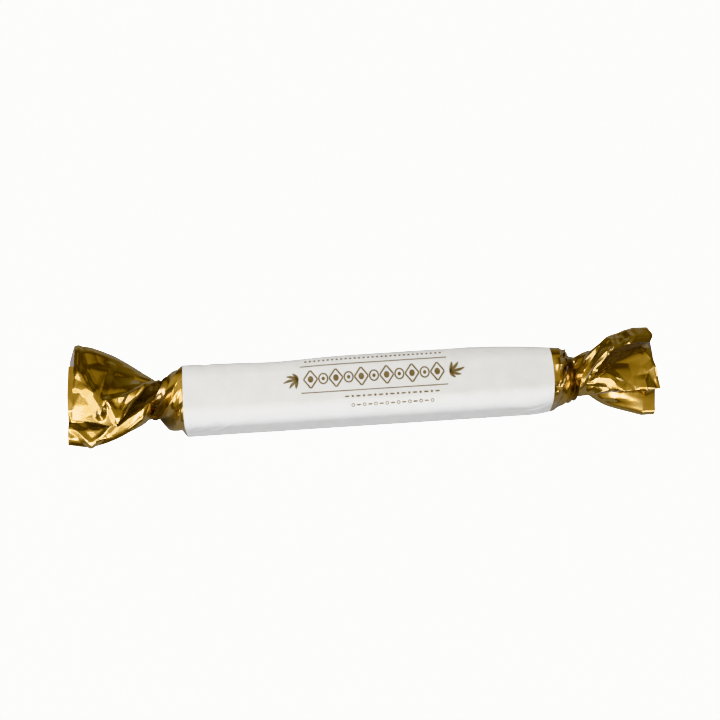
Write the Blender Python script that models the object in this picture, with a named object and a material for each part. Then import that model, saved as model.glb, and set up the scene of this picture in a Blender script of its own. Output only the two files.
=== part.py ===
"""A shut, twist-wrapped stick of nougat, lying on its flat underside.

One sheet of foil is rolled round the bar, gathered and twisted into a neck past each end, and left
flared as a tail. X runs along the bar, Y across it and Z up. The origin is the middle of the flat
underside. Sizes are in millimetres here and become metres when a mesh is made.
"""

import math

import bmesh
import bpy
import numpy as np

METRES_PER_MM = 0.001

# The wrapped bar. Its ends aren't square: the twist pulls one corner of each further in
BAR_WIDTH = 11.85
BAR_HEIGHT = 11.2
CORNER_RADIUS = 3.2
MID_HEIGHT = BAR_HEIGHT / 2

# The bar isn't even: the +Y side has a shallow dent, and both sides are drawn in towards the right end
DENT_X = -15.8
DENT_DEPTH = 0.42
DENT_HALF_LENGTH = 7.5
UPPER_DRAWN_IN = 17.0, 1.2
LOWER_DRAWN_IN = 29.5, 0.8

# The sheet of foil. The solid is thicker than real foil, which is about 0.05 mm
SHEET_THICKNESS = 0.3
OVERLAP_TURNS = 0.06
LAP_STEP = 0.62
FOLD_RADIUS = 0.55
LARGEST_CUT = 0.35

# The gathered pleats, deepest at the necks
PLEATS = 7
PLEAT_DEPTH = 0.45
PLEAT_UNEVENNESS = 0.035
PLEAT_PHASE = 1.0

# The powers of the share of the way that set how soon a shoulder turns, and how soon a tail stops
# turning
SHOULDER_TURNING = 1.3
TAIL_SETTLING = 2.6

# The printed white field covers this share of the bar's length from its left end
FIELD_SHARE = 0.98

# How finely the solids are divided
POINTS_AROUND = 63
FIELD_RINGS = 14
SHOULDER_RINGS = 6
CORE_TIP_RINGS = 3
TAIL_RINGS = 13
TAIL_RING_CROWDING = 1.25
LONGEST_STEP_ACROSS = 1.8

SHARP_ANGLE = math.radians(35)

# The order of the materials
GOLD_FOIL, WHITE_PRINT = 0, 1

# Inside each tail the core ends in a blunt tip, and the tail's sheet starts inside the core and
# leaves it within this share of the tail's length
CORE_TIP_LENGTH = 1.7
CORE_TIP_RADIUS = 0.9
CORE_TIP_LEAN = 0.15
CORE_TIP_TURN = 0.4
SHEET_START_SHARE = 0.65
SHEET_EMERGES_BY = 1 / 6

# Each tail's mouth, as the folds that its cut edge passes through: from the sheet's inner edge, down
# the front, up the back and over to its free outer edge, as (x, across, up). Up is counted from the
# height of the mouth's middle.
LEFT_MOUTH = (
    (-53.0, 8.3, 0.2),
    (-53.2, 2.7, 0.7),
    (-53.1, -3.1, 1.2),
    (-53.2, -5.8, 0.9),
    (-53.3, -6.8, -0.2),
    (-53.3, -4.9, -1.5),
    (-53.2, 0.8, -2.4),
    (-53.1, 5.6, -2.6),
    (-53.1, 9.9, -2.2),
    (-52.3, 11.9, -1.2),
    (-51.7, 12.3, 0.3),
    (-51.6, 10.9, 1.4),
    (-51.7, 7.5, 2.4),
    (-51.9, 3.3, 2.7),
    (-51.9, -2.5, 2.1),
)
RIGHT_MOUTH = (
    (52.2, 6.2, 0.2),
    (52.5, 2.9, 1.9),
    (52.9, 0.0, 2.2),
    (53.3, -3.9, 2.2),
    (52.4, -2.4, 0.9),
    (52.2, -5.3, 1.0),
    (52.1, -7.5, 0.4),
    (51.8, -7.8, -0.8),
    (52.6, -6.1, -1.9),
    (53.3, -1.6, -2.6),
    (53.5, 4.1, -2.3),
    (53.1, 7.1, -1.4),
    (52.5, 8.8, -0.1),
    (53.1, 6.4, 2.1),
    (52.4, 5.2, 2.5),
)


class Crease:
    """A straight-sided ridge in the sheet, or a valley if its height is negative. It runs through places
    on the flat sheet, (across from the inner edge, along from the neck)."""

    def __init__(self, places, height, half_width):
        self.places = np.array(places)
        self.height = height
        self.half_width = half_width

    def lift(self, flat):
        nearest = np.full(flat.shape[:-1], np.inf)
        for start, end in zip(self.places, self.places[1:]):
            along = end - start
            share = np.clip((flat - start) @ along / (along @ along), 0.0, 1.0)
            away = np.linalg.norm(flat - start - share[..., None] * along, axis=-1)
            nearest = np.minimum(nearest, away)
        return self.height * np.maximum(0.0, 1 - nearest / self.half_width)


class Pull:
    """A place on the flat sheet that is drawn to one side, with what lies within its reach."""

    def __init__(self, place, reach, by):
        self.place, self.reach, self.by = np.array(place), np.array(reach), np.array(by)

    def shift(self, flat):
        away = ((flat - self.place) / self.reach) ** 2
        return np.exp(-away.sum(axis=-1))[..., None] * self.by


class Tail:
    """One end of the wrapper: where the bar ends, where the neck is, how far it is twisted, and how its
    mouth opens. A slant is how much further along X the +Y side lies than the middle. A narrowing is the
    power that sets how soon the shoulder narrows on its (+Y, -Y) side."""

    def __init__(self, bar_end, neck, neck_radius, narrowing, shoulder_fold, mouth, mouth_middle,
                 turns_to_neck, turns_to_mouth, flare, creases, pulls):
        self.end_x, self.end_slant = bar_end
        self.neck_x, self.neck_slant, self.neck_across, self.neck_up = neck
        self.neck_radius = neck_radius
        self.narrowing_up, self.narrowing_down = narrowing
        self.shoulder_fold = shoulder_fold
        self.creases, self.pulls = creases, pulls
        self.mouth = np.array(mouth)
        self.mouth_middle = np.array(mouth_middle)
        self.turn_to_neck = 2 * math.pi * turns_to_neck
        self.turn_to_mouth = 2 * math.pi * turns_to_mouth
        self.flare_up, self.flare_down = flare
        self.outwards = math.copysign(1.0, self.neck_x)
        self.neck_middle = np.array([self.neck_across, self.neck_up])


# The flares are (gain, power): how soon the tail opens from its neck, on its +Y and -Y sides
LEFT = Tail(
    bar_end=(-31.93, 0.04),
    neck=(-37.06, 1.08, 0.61, -0.2),
    neck_radius=2.97,
    narrowing=(1.6, 1.39),
    shoulder_fold=0.34,
    mouth=LEFT_MOUTH,
    mouth_middle=(3.87, -0.9),
    turns_to_neck=0.32,
    turns_to_mouth=0.23,
    flare=((1.08, 0.35), (1.14, 0.45)),
    creases=(
        Crease([(40.7, 9.3), (44.2, 10.7), (46.3, 11.5), (51.0, 11.8)], 0.55, 2.4),
        Crease([(41.0, 16.0), (44.0, 14.9), (46.8, 13.8), (49.5, 12.4)], 0.75, 3.0),
        Crease([(48.4, 9.7), (48.8, 5.6), (49.5, 2.5)], 0.6, 1.8),
        Crease([(47.0, 9.5), (45.5, 5.6), (44.5, 2.0)], -0.5, 2.2),
        Crease([(12.6, 8.6), (11.2, 5.1), (8.2, 2.2)], 0.45, 1.8),
        Crease([(10.9, 17.0), (13.4, 14.7), (15.2, 12.9)], 0.5, 2.0),
    ),
    pulls=(
        Pull((52.0, 9.5), (3.2, 3.0), (0.0, -1.7, -0.5)),
    ),
)
RIGHT = Tail(
    bar_end=(35.0, 0.5),
    neck=(38.01, -0.61, 0.21, -0.2),
    neck_radius=3.6,
    narrowing=(1.07, 0.82),
    shoulder_fold=0.08,
    mouth=RIGHT_MOUTH,
    mouth_middle=(0.2, -0.9),
    turns_to_neck=-0.40,
    turns_to_mouth=-0.488,
    flare=((1.2, 0.89), (1.21, 1.14)),
    creases=(
        Crease([(6.2, 17.2), (7.0, 15.9), (8.6, 14.9), (13.0, 15.3)], 0.5, 1.8),
        Crease([(5.2, 4.4), (7.0, 8.2), (9.0, 9.0), (13.2, 11.0)], 0.45, 2.4),
    ),
    pulls=(
        Pull((1.5, 6.0), (2.6, 3.5), (0.0, 0.0, -1.1)),
        Pull((1.5, 11.0), (2.6, 3.5), (0.0, 0.0, -1.1)),
    ),
)


def mix(a, b, share):
    return a + (b - a) * share


def bar_section(turns, half_width):
    """(across, up) on the rounded section. 0 turns is the middle of the underside, growing towards +Y."""
    half_height = BAR_HEIGHT / 2
    flat_y, flat_z = half_width - CORNER_RADIUS, half_height - CORNER_RADIUS
    arc = CORNER_RADIUS * math.pi / 2
    lengths = [flat_y, arc, 2 * flat_z, arc, 2 * flat_y, arc, 2 * flat_z, arc, flat_y]
    ends = np.cumsum([0.0] + lengths)
    along = np.mod(turns, 1.0) * ends[-1]
    starts = {0: (0, -half_height), 2: (half_width, -flat_z), 4: (flat_y, half_height),
              6: (-half_width, flat_z), 8: (-flat_y, -half_height)}
    headings = {0: (1, 0), 2: (0, 1), 4: (-1, 0), 6: (0, -1), 8: (1, 0)}
    corners = {1: (flat_y, -flat_z), 3: (flat_y, flat_z), 5: (-flat_y, flat_z), 7: (-flat_y, -flat_z)}
    points = np.zeros((len(along), 2))
    for k in range(len(lengths)):
        here = (along >= ends[k]) & (along <= ends[k + 1])
        step = (along[here] - ends[k])[:, None]
        if k in corners:
            angle = step[:, 0] / CORNER_RADIUS + (k - 3) * math.pi / 4
            round_part = np.stack([np.cos(angle), np.sin(angle)], axis=1)
            points[here] = np.array(corners[k]) + CORNER_RADIUS * round_part
        else:
            points[here] = np.array(starts[k]) + step * np.array(headings[k])
    return points


def polar(points):
    """Radius and unwrapped angle of (across, up) points."""
    radius = np.hypot(points[:, 0], points[:, 1])
    angle = np.unwrap(np.arctan2(points[:, 1], points[:, 0]))
    return radius, angle


def drawn_in_at(x, start_and_depth):
    """How far a side of the bar is drawn in at x, more and more steeply towards the right end."""
    start, depth = start_and_depth
    return depth * max(0.0, (x - start) / (RIGHT.end_x - start)) ** 2


def uneven_section(x, turns):
    """The bar's section at x, with the dent in its +Y side and the drawn-in right-hand end."""
    section = bar_section(turns, BAR_WIDTH / 2)
    dent = DENT_DEPTH * math.exp(-(((x - DENT_X) / DENT_HALF_LENGTH) ** 2))
    towards_upper = np.clip(section[:, 0] / (BAR_WIDTH / 2), 0.0, 1.0)
    towards_lower = np.clip(-section[:, 0] / (BAR_WIDTH / 2), 0.0, 1.0)
    section[:, 0] -= towards_upper * (dent + drawn_in_at(x, UPPER_DRAWN_IN))
    section[:, 0] += towards_lower * drawn_in_at(x, LOWER_DRAWN_IN)
    return section


def pleat_wave(turns):
    """+1 on a pleat's ridge and -1 in the valley between two, with straight sides."""
    uneven = turns + PLEAT_UNEVENNESS * np.sin(4 * math.pi * turns + PLEAT_PHASE)
    return 1 - 4 * np.abs(np.mod(PLEATS * uneven, 1.0) - 0.5)


def end_section(tail, turns):
    return uneven_section(tail.end_x, turns)


def end_positions(tail, section):
    """X of the bar's end at each point of its section, with the end's slant."""
    return tail.end_x + tail.end_slant * section[:, 0] / (BAR_WIDTH / 2)


def pleated_radius(tail, turns):
    return tail.neck_radius + PLEAT_DEPTH * pleat_wave(turns)


def neck_ring(tail, turns):
    """Radius and angle at the neck, where the bar's section has turned and gathered into pleats."""
    angle = polar(end_section(tail, np.mod(turns, 1.0)))[1]
    return pleated_radius(tail, turns), angle + tail.turn_to_neck


def placed(x, radius, angle, middle):
    """3D points from polar ones about (middle across, middle above mid height)."""
    across = middle[0] + radius * np.cos(angle)
    up = MID_HEIGHT + middle[1] + radius * np.sin(angle)
    return np.stack([x + 0 * across, across, up], axis=1)


def bar_ring(share, turns):
    """A ring of the straight bar, from its left end at share 0 to its right end at share 1."""
    section = uneven_section(mix(LEFT.end_x, RIGHT.end_x, share), turns)
    x = mix(end_positions(LEFT, section), end_positions(RIGHT, section), share)
    return np.stack([x, section[:, 0], section[:, 1] + MID_HEIGHT], axis=1)


def neck_positions(tail, radius, angle):
    return tail.neck_x + tail.neck_slant * radius * np.cos(angle) / tail.neck_radius


def shoulder_ring(tail, share, turns):
    """Between the bar's end, at share 0, and the neck, at share 1. It is pressed no lower than the bar's
    underside and stands no higher than its top, where the turning corners would otherwise reach."""
    section = end_section(tail, turns)
    bar_radius, bar_angle = polar(section)
    neck_radius = pleated_radius(tail, turns)
    angle = bar_angle + tail.turn_to_neck * share**SHOULDER_TURNING
    narrowing = mix(tail.narrowing_down, tail.narrowing_up, 0.5 + 0.5 * np.cos(angle))
    radius = mix(bar_radius, neck_radius, share**narrowing)
    radius += tail.shoulder_fold * math.sin(math.pi * share) * (pleat_wave(turns) - 1)
    neck_x = neck_positions(tail, neck_radius, bar_angle + tail.turn_to_neck)
    x = mix(end_positions(tail, section), neck_x, share)
    ring = placed(x, radius, angle, tail.neck_middle * share)
    ring[:, 2] = np.clip(ring[:, 2], 0.0, BAR_HEIGHT)
    return ring


def core_tip_ring(tail, share, turns):
    """Past the neck, the gathered foil narrows to a closed tip inside the tail."""
    neck_radius, angle = neck_ring(tail, turns)
    radius = mix(neck_radius, CORE_TIP_RADIUS, share)
    middle = mix(tail.neck_middle, tail.mouth_middle, CORE_TIP_LEAN * share)
    x = neck_positions(tail, neck_radius, angle) + tail.outwards * CORE_TIP_LENGTH * share
    return placed(x, radius, angle + tail.turn_to_mouth * CORE_TIP_TURN * share, middle)


def with_round_folds(corners, radius):
    """The polyline with each inner corner replaced by three points of a small round fold."""
    points = [corners[0]]
    for before, corner, after in zip(corners, corners[1:], corners[2:]):
        length_before, length_after = np.linalg.norm(before - corner), np.linalg.norm(after - corner)
        cut = min(radius, LARGEST_CUT * length_before, LARGEST_CUT * length_after)
        first = mix(corner, before, cut / length_before)
        last = mix(corner, after, cut / length_after)
        points += [first, 0.5 * corner + 0.25 * (first + last), last]
    return np.array(points + [corners[-1]])


def with_short_steps(points, longest):
    """The polyline with its long straight stretches divided evenly."""
    divided = [points[0]]
    for before, after in zip(points, points[1:]):
        pieces = max(1, math.ceil(np.linalg.norm(after - before) / longest))
        divided += [mix(before, after, k / pieces) for k in range(1, pieces + 1)]
    return np.array(divided)


def mouth_edge(tail):
    """The mouth's cut edge: how far round the sheet each point lies, its x, radius and angle."""
    points = with_short_steps(with_round_folds(tail.mouth, FOLD_RADIUS), LONGEST_STEP_ACROSS)
    across = np.concatenate([[0.0], np.cumsum(np.linalg.norm(np.diff(points, axis=0), axis=1))])
    radius, angle = polar(points[:, 1:] - [tail.mouth_middle[0], 0.0])
    return across, points[:, 0], radius, angle


def flare_share(tail, angle, share):
    """How far the tail has opened at this share of its length, from 0 at the neck to 1."""
    upper = 0.5 + 0.5 * np.cos(angle)
    gain = mix(tail.flare_down[0], tail.flare_up[0], upper)
    power = mix(tail.flare_down[1], tail.flare_up[1], upper)
    return np.minimum(1.0, gain * share**power)


def tail_grid(tail, rings):
    """Points of the tail's sheet, from inside the neck, ring by ring, to its cut edge."""
    across, mouth_x, mouth_radius, mouth_angle = mouth_edge(tail)
    sheet_share = across / across[-1]
    turns = sheet_share * (1.0 + OVERLAP_TURNS)
    neck_radius = pleated_radius(tail, turns) + LAP_STEP * (sheet_share - 0.5)
    neck_angle = polar(end_section(tail, np.array([0.0])))[1][0] + tail.turn_to_neck + 2 * math.pi * turns
    neck_x = neck_positions(tail, neck_radius, neck_angle)
    whole_turns = round((neck_angle.mean() + tail.turn_to_mouth - mouth_angle.mean()) / (2 * math.pi))
    mouth_angle = mouth_angle + 2 * math.pi * whole_turns
    grid = []
    for share in np.linspace(0.0, 1.0, rings) **TAIL_RING_CROWDING:
        start = mix(SHEET_START_SHARE, 1.0, min(1.0, share / SHEET_EMERGES_BY))
        radius = mix(neck_radius * start, mouth_radius, flare_share(tail, mouth_angle, share))
        angle = mix(neck_angle, mouth_angle, 1 - (1 - share) ** TAIL_SETTLING)
        middle = mix(tail.neck_middle, tail.mouth_middle, share)
        grid.append(placed(mix(neck_x, mouth_x, share), radius, angle, middle))
    return creased(tail, np.array(grid), across)


def creased(tail, grid, across):
    """The smooth sheet with its creases and pulls. Its even spacing along is the mean of all columns."""
    steps = np.linalg.norm(np.diff(grid, axis=0), axis=2).mean(axis=1)
    along = np.concatenate([[0.0], np.cumsum(steps)])
    flat = np.stack(np.meshgrid(across, along), axis=-1)
    grid = grid + sum(pull.shift(flat) for pull in tail.pulls)
    lift = sum(crease.lift(flat) for crease in tail.creases)
    return grid + tail.outwards * grid_normals(grid) * lift[..., None]


def grid_normals(grid):
    along = np.gradient(grid, axis=0)
    across = np.gradient(grid, axis=1)
    normals = np.cross(across, along)
    return normals / np.maximum(np.linalg.norm(normals, axis=2, keepdims=True), 1e-9)


def new_object(name, mesh_edit, materials):
    """An object whose closed mesh is in metres, with its faces turned outwards."""
    for vertex in mesh_edit.verts:
        vertex.co *= METRES_PER_MM
    bmesh.ops.recalc_face_normals(mesh_edit, faces=mesh_edit.faces)
    mesh = bpy.data.meshes.new(name)
    mesh_edit.to_mesh(mesh)
    mesh_edit.free()
    for material in materials:
        mesh.materials.append(material)
    made = bpy.data.objects.new(name, mesh)
    bpy.context.scene.collection.objects.link(made)
    return made


def band(mesh_edit, first, second, closed, material=GOLD_FOIL):
    """Triangles between two rows of vertices, split the same way all along."""
    count = len(first)
    for k in range(count if closed else count - 1):
        after = (k + 1) % count
        for corners in ((first[k], first[after], second[after]), (first[k], second[after], second[k])):
            mesh_edit.faces.new(corners).material_index = material


def make_core(materials):
    """The bar, its shoulders and its necks: a solid, because the shut wrapper can't be seen into."""
    turns = np.arange(POINTS_AROUND) / POINTS_AROUND
    tip_shares = np.linspace(1.0, 0.0, CORE_TIP_RINGS, endpoint=False)
    shoulder_shares = np.linspace(1.0, 0.0, SHOULDER_RINGS, endpoint=False)
    rings = [core_tip_ring(LEFT, share, turns) for share in tip_shares]
    rings += [shoulder_ring(LEFT, share, turns) for share in shoulder_shares]
    field_from = len(rings)
    rings += [bar_ring(share, turns) for share in np.linspace(0.0, FIELD_SHARE, FIELD_RINGS)]
    field_to = len(rings) - 1
    rings.append(bar_ring(1.0, turns))
    rings += [shoulder_ring(RIGHT, share, turns) for share in shoulder_shares[::-1]]
    rings += [core_tip_ring(RIGHT, share, turns) for share in tip_shares[::-1]]
    mesh_edit = bmesh.new()
    rows = [[mesh_edit.verts.new(point) for point in ring] for ring in rings]
    for k, (first, second) in enumerate(zip(rows, rows[1:])):
        printed = field_from <= k < field_to
        band(mesh_edit, first, second, closed=True, material=WHITE_PRINT if printed else GOLD_FOIL)
    mesh_edit.faces.new(rows[0])
    mesh_edit.faces.new(rows[-1])
    return new_object("wrapper", mesh_edit, materials)


def make_tail(name, tail, materials):
    """The flared sheet as a thin closed solid that starts inside the core's neck."""
    grid = tail_grid(tail, TAIL_RINGS)
    offset = grid_normals(grid) * SHEET_THICKNESS / 2
    mesh_edit = bmesh.new()
    sides = [
        [[mesh_edit.verts.new(point) for point in ring] for ring in side]
        for side in (grid + offset, grid - offset)
    ]
    for side in sides:
        for first, second in zip(side, side[1:]):
            band(mesh_edit, first, second, closed=False)
    outer, inner = sides
    band(mesh_edit, outer[0], inner[0], closed=False)
    band(mesh_edit, outer[-1], inner[-1], closed=False)
    for edge in (0, -1):
        band(mesh_edit, [row[edge] for row in outer], [row[edge] for row in inner], closed=False)
    return new_object(name, mesh_edit, materials)


def join_to(core, pieces):
    """One Boolean union makes the core and the tails a single solid."""
    together = bpy.data.collections.new("tails")
    bpy.context.scene.collection.children.link(together)
    for piece in pieces:
        bpy.context.scene.collection.objects.unlink(piece)
        together.objects.link(piece)
    union = core.modifiers.new("union", "BOOLEAN")
    union.operation = "UNION"
    union.operand_type = "COLLECTION"
    union.collection = together
    union.solver = "EXACT"
    union.use_self = True
    bpy.context.view_layer.update()
    joined = bpy.data.meshes.new_from_object(core.evaluated_get(bpy.context.evaluated_depsgraph_get()))
    core.modifiers.clear()
    core.data = joined
    for piece in pieces:
        bpy.data.objects.remove(piece)
    bpy.data.collections.remove(together)


def foil_material(name, colour, metallic, roughness):
    material = bpy.data.materials.new(name)
    material.use_nodes = True
    shader = material.node_tree.nodes["Principled BSDF"]
    shader.inputs["Base Color"].default_value = (*colour, 1.0)
    shader.inputs["Metallic"].default_value = metallic
    shader.inputs["Roughness"].default_value = roughness
    material.diffuse_color = (*colour, 1.0)
    return material


def main():
    for old in list(bpy.data.objects):
        bpy.data.objects.remove(old)
    materials = [
        foil_material("gold foil", (0.55, 0.34, 0.06), metallic=1.0, roughness=0.28),
        foil_material("white print", (0.78, 0.78, 0.77), metallic=0.0, roughness=0.5),
    ]
    wrapper = make_core(materials)
    join_to(wrapper, [make_tail("left_tail", LEFT, materials), make_tail("right_tail", RIGHT, materials)])
    wrapper.data.shade_smooth()
    wrapper.data.set_sharp_from_angle(angle=SHARP_ANGLE)


main()
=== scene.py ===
# %% [markdown]
# # A twist-wrapped nougat bar
#
# A stick of nougat lies shut in one sheet of gold foil. The foil is printed white along the bar,
# gathered and twisted into a neck past each end, and left flared as a tail. The bar can't be seen,
# so this script makes only what shows: the sheet, and the print on it.
#
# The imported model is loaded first. It holds the sheet's plain form as one solid, and every piece
# made here stays on it. Sizes below are in millimetres, and a mesh is scaled to metres when it is
# made.

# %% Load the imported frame
import math

import bmesh
import bpy
import numpy as np
from mathutils import Matrix, Vector
from mathutils.geometry import delaunay_2d_cdt


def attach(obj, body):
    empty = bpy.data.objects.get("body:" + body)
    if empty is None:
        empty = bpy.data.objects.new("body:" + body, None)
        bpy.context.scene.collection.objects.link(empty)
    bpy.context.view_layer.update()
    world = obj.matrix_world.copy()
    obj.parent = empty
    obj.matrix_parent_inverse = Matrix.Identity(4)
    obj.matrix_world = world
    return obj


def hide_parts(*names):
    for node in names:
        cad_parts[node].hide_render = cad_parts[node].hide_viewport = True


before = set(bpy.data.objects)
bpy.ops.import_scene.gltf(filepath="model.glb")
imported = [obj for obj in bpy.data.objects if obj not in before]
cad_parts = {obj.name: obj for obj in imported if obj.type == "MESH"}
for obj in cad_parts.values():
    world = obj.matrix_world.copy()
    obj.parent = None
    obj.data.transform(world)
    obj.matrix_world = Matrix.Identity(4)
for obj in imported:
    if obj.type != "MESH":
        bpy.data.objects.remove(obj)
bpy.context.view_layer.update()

MM = 0.001

# %% [markdown]
# ## The bar's section
#
# The nougat inside is a stick with a nearly square section, so the sheet round it is a rounded
# rectangle. A place on the section is a share of one turn round it: 0 is the middle of the
# underside, a quarter turn is the +Y side and half a turn is the middle of the top. The section is
# worked out from its width, height and corner radius, because straight stretches and quarter
# circles are easy to measure along, which the print needs later. A Bezier circle or a bevelled cube
# would look alike, but wouldn't say how far round a point lies.

# %% The bar's measures
BAR_WIDTH = 11.85
BAR_HEIGHT = 11.2
CORNER_RADIUS = 3.2
MID_HEIGHT = BAR_HEIGHT / 2
GIRTH = 2 * (BAR_WIDTH + BAR_HEIGHT) - (8 - 2 * math.pi) * CORNER_RADIUS
print("Girth of the bar in mm:", round(GIRTH, 2))


# %% Two helpers for going from one value to another
def mix(a, b, share):
    return a + (b - a) * share


def smooth_step(low, high, value):
    """0 below low, 1 above high and an even S between them."""
    share = np.clip((value - low) / (high - low), 0.0, 1.0)
    return share * share * (3 - 2 * share)


# %% The even section
def bar_section(turns):
    """(across, up) on the even section, counted from its middle."""
    half_width, half_height = BAR_WIDTH / 2, BAR_HEIGHT / 2
    flat_y, flat_z = half_width - CORNER_RADIUS, half_height - CORNER_RADIUS
    arc = CORNER_RADIUS * math.pi / 2
    lengths = [flat_y, arc, 2 * flat_z, arc, 2 * flat_y, arc, 2 * flat_z, arc, flat_y]
    ends = np.cumsum([0.0] + lengths)
    along = np.mod(turns, 1.0) * ends[-1]
    starts = {0: (0, -half_height), 2: (half_width, -flat_z), 4: (flat_y, half_height),
              6: (-half_width, flat_z), 8: (-flat_y, -half_height)}
    headings = {0: (1, 0), 2: (0, 1), 4: (-1, 0), 6: (0, -1), 8: (1, 0)}
    corners = {1: (flat_y, -flat_z), 3: (flat_y, flat_z), 5: (-flat_y, flat_z), 7: (-flat_y, -flat_z)}
    points = np.zeros((*np.shape(turns), 2))
    for k in range(len(lengths)):
        here = (along >= ends[k]) & (along <= ends[k + 1])
        step = (along[here] - ends[k])[:, None]
        if k in corners:
            angle = step[:, 0] / CORNER_RADIUS + (k - 3) * math.pi / 4
            round_part = np.stack([np.cos(angle), np.sin(angle)], axis=1)
            points[here] = np.array(corners[k]) + CORNER_RADIUS * round_part
        else:
            points[here] = np.array(starts[k]) + step * np.array(headings[k])
    return points


# %% [markdown]
# ## The two tails
#
# Past each end of the bar the sheet narrows over a shoulder to a neck, and opens again into a tail.
# A tail is known by its cut edge, the mouth, which was pressed nearly flat and creased by hand. The
# mouth is written down as the few places where its edge folds. The sheet is rolled, so the list
# starts at the sheet's inner edge, goes down the front, up the back and over the top again to its
# free outer edge.
#
# Everything between the neck and the mouth follows from these by a rule, so a fold that is moved at
# the mouth takes its whole crease with it. Each row is a fold's (x, y, height above mid height).

# %% The cut edges of the tails
LEFT_MOUTH = (
    (-53.0, 8.3, 0.2),
    (-53.2, 2.7, 0.7),
    (-53.1, -3.1, 1.2),
    (-53.2, -5.8, 0.9),
    (-53.3, -6.8, -0.2),
    (-53.3, -4.9, -1.5),
    (-53.2, 0.8, -2.4),
    (-53.1, 5.6, -2.6),
    (-53.1, 9.9, -2.2),
    (-52.3, 11.9, -1.2),
    (-51.7, 12.3, 0.3),
    (-51.6, 10.9, 1.4),
    (-51.7, 7.5, 2.4),
    (-51.9, 3.3, 2.7),
    (-51.9, -2.5, 2.1),
)
RIGHT_MOUTH = (
    (52.2, 6.2, 0.2),
    (52.5, 2.9, 1.9),
    (52.9, 0.0, 2.2),
    (53.3, -3.9, 2.2),
    (52.4, -2.4, 0.9),
    (52.2, -5.3, 1.0),
    (52.1, -7.5, 0.4),
    (51.8, -7.8, -0.8),
    (52.6, -6.1, -1.9),
    (53.3, -1.6, -2.6),
    (53.5, 4.1, -2.3),
    (53.1, 7.1, -1.4),
    (52.5, 8.8, -0.1),
    (53.1, 6.4, 2.1),
    (52.4, 5.2, 2.5),
)
print("Folds at the mouths:", len(LEFT_MOUTH), "left and", len(RIGHT_MOUTH), "right")


# %% The rest of what a tail is known by
class Tail:
    """One end of the wrapper. A slant is how much further along X the +Y side lies than the middle.
    A flare is (gain, power): how soon the tail opens from its neck. Narrowing and turning are powers:
    how late on the shoulder the sheet narrows, on its +Y and -Y side, and how late it turns."""

    def __init__(self, bar_end, neck, mouth, mouth_middle, turns_to_neck, turns_to_mouth, flare,
                 shoulder_fold, neck_radius, narrowing, turning):
        self.end_x, self.end_slant = bar_end
        self.neck_x, self.neck_slant, neck_across, neck_up = neck
        self.neck_middle = np.array([neck_across, neck_up])
        self.mouth = np.array(mouth)
        self.mouth_middle = np.array(mouth_middle)
        self.turn_to_neck = 2 * math.pi * turns_to_neck
        self.turn_to_mouth = 2 * math.pi * turns_to_mouth
        self.flare_up, self.flare_down = flare
        self.shoulder_fold = shoulder_fold
        self.neck_radius = neck_radius
        self.narrowing = narrowing
        self.turning = turning


LEFT = Tail(
    bar_end=(-31.93, 0.04),
    neck=(-37.06, 1.08, 0.61, -0.2),
    mouth=LEFT_MOUTH,
    mouth_middle=(3.87, -0.9),
    turns_to_neck=0.32,
    turns_to_mouth=0.23,
    flare=((1.08, 0.35), (1.14, 0.45)),
    shoulder_fold=0.34,
    neck_radius=2.97,
    narrowing=(1.6, 1.39),
    turning=1.3,
)
RIGHT = Tail(
    bar_end=(35.0, 0.5),
    neck=(38.01, -0.61, 0.21, -0.2),
    mouth=RIGHT_MOUTH,
    mouth_middle=(0.2, -0.9),
    turns_to_neck=-0.40,
    turns_to_mouth=-0.488,
    flare=((1.2, 0.89), (1.21, 1.14)),
    shoulder_fold=0.08,
    neck_radius=3.6,
    narrowing=(1.07, 0.82),
    turning=2.6,
)

# %% [markdown]
# ## Rings round the bar, the shoulders and the necks
#
# The sheet is a grid of points: each column runs along the whole wrapper, and each row is one ring
# round it. On the bar a ring is the section itself. On a shoulder the ring turns about the bar's
# line while its radius shrinks, and pleats grow in it, because the same width of foil has to fit a
# neck of half the girth. A triangle wave makes the pleats, since foil folds into flat sides and
# sharp ridges. Their spacing is uneven, as in any gathered sheet.
#
# A hand-wrapped bar isn't even. One long side has a shallow dent, and both sides are drawn in where
# the twist at the right end pulls on them.

# %% The bar's uneven section
DENT_X = -15.8
DENT_DEPTH = 0.42
DENT_HALF_LENGTH = 7.5
UPPER_DRAWN_IN = 17.0, 1.2
LOWER_DRAWN_IN = 29.5, 0.8


def polar(points):
    """Radius and unwrapped angle of (across, up) points in a row."""
    radius = np.hypot(points[..., 0], points[..., 1])
    angle = np.unwrap(np.arctan2(points[..., 1], points[..., 0]))
    return radius, angle


def drawn_in_at(x, start_and_depth):
    start, depth = start_and_depth
    return depth * np.maximum(0.0, (x - start) / (RIGHT.end_x - start)) ** 2


def uneven_section(x, turns):
    """The bar's section at x, with its dent and the drawn-in right-hand end."""
    section = bar_section(turns)
    dent = DENT_DEPTH * np.exp(-(((x - DENT_X) / DENT_HALF_LENGTH) ** 2))
    towards_upper = np.clip(section[..., 0] / (BAR_WIDTH / 2), 0.0, 1.0)
    towards_lower = np.clip(-section[..., 0] / (BAR_WIDTH / 2), 0.0, 1.0)
    section[..., 0] -= towards_upper * (dent + drawn_in_at(x, UPPER_DRAWN_IN))
    section[..., 0] += towards_lower * drawn_in_at(x, LOWER_DRAWN_IN)
    return section


# %% Pleats
PLEATS = 7
PLEAT_DEPTH = 0.45
PLEAT_UNEVENNESS = 0.035
PLEAT_PHASE = 1.0
FINE_PLEATS = 16
FINE_PLEAT_DEPTH = 0.03
print("Pleats round each neck:", PLEATS, "deep and", FINE_PLEATS, "fine")


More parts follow.
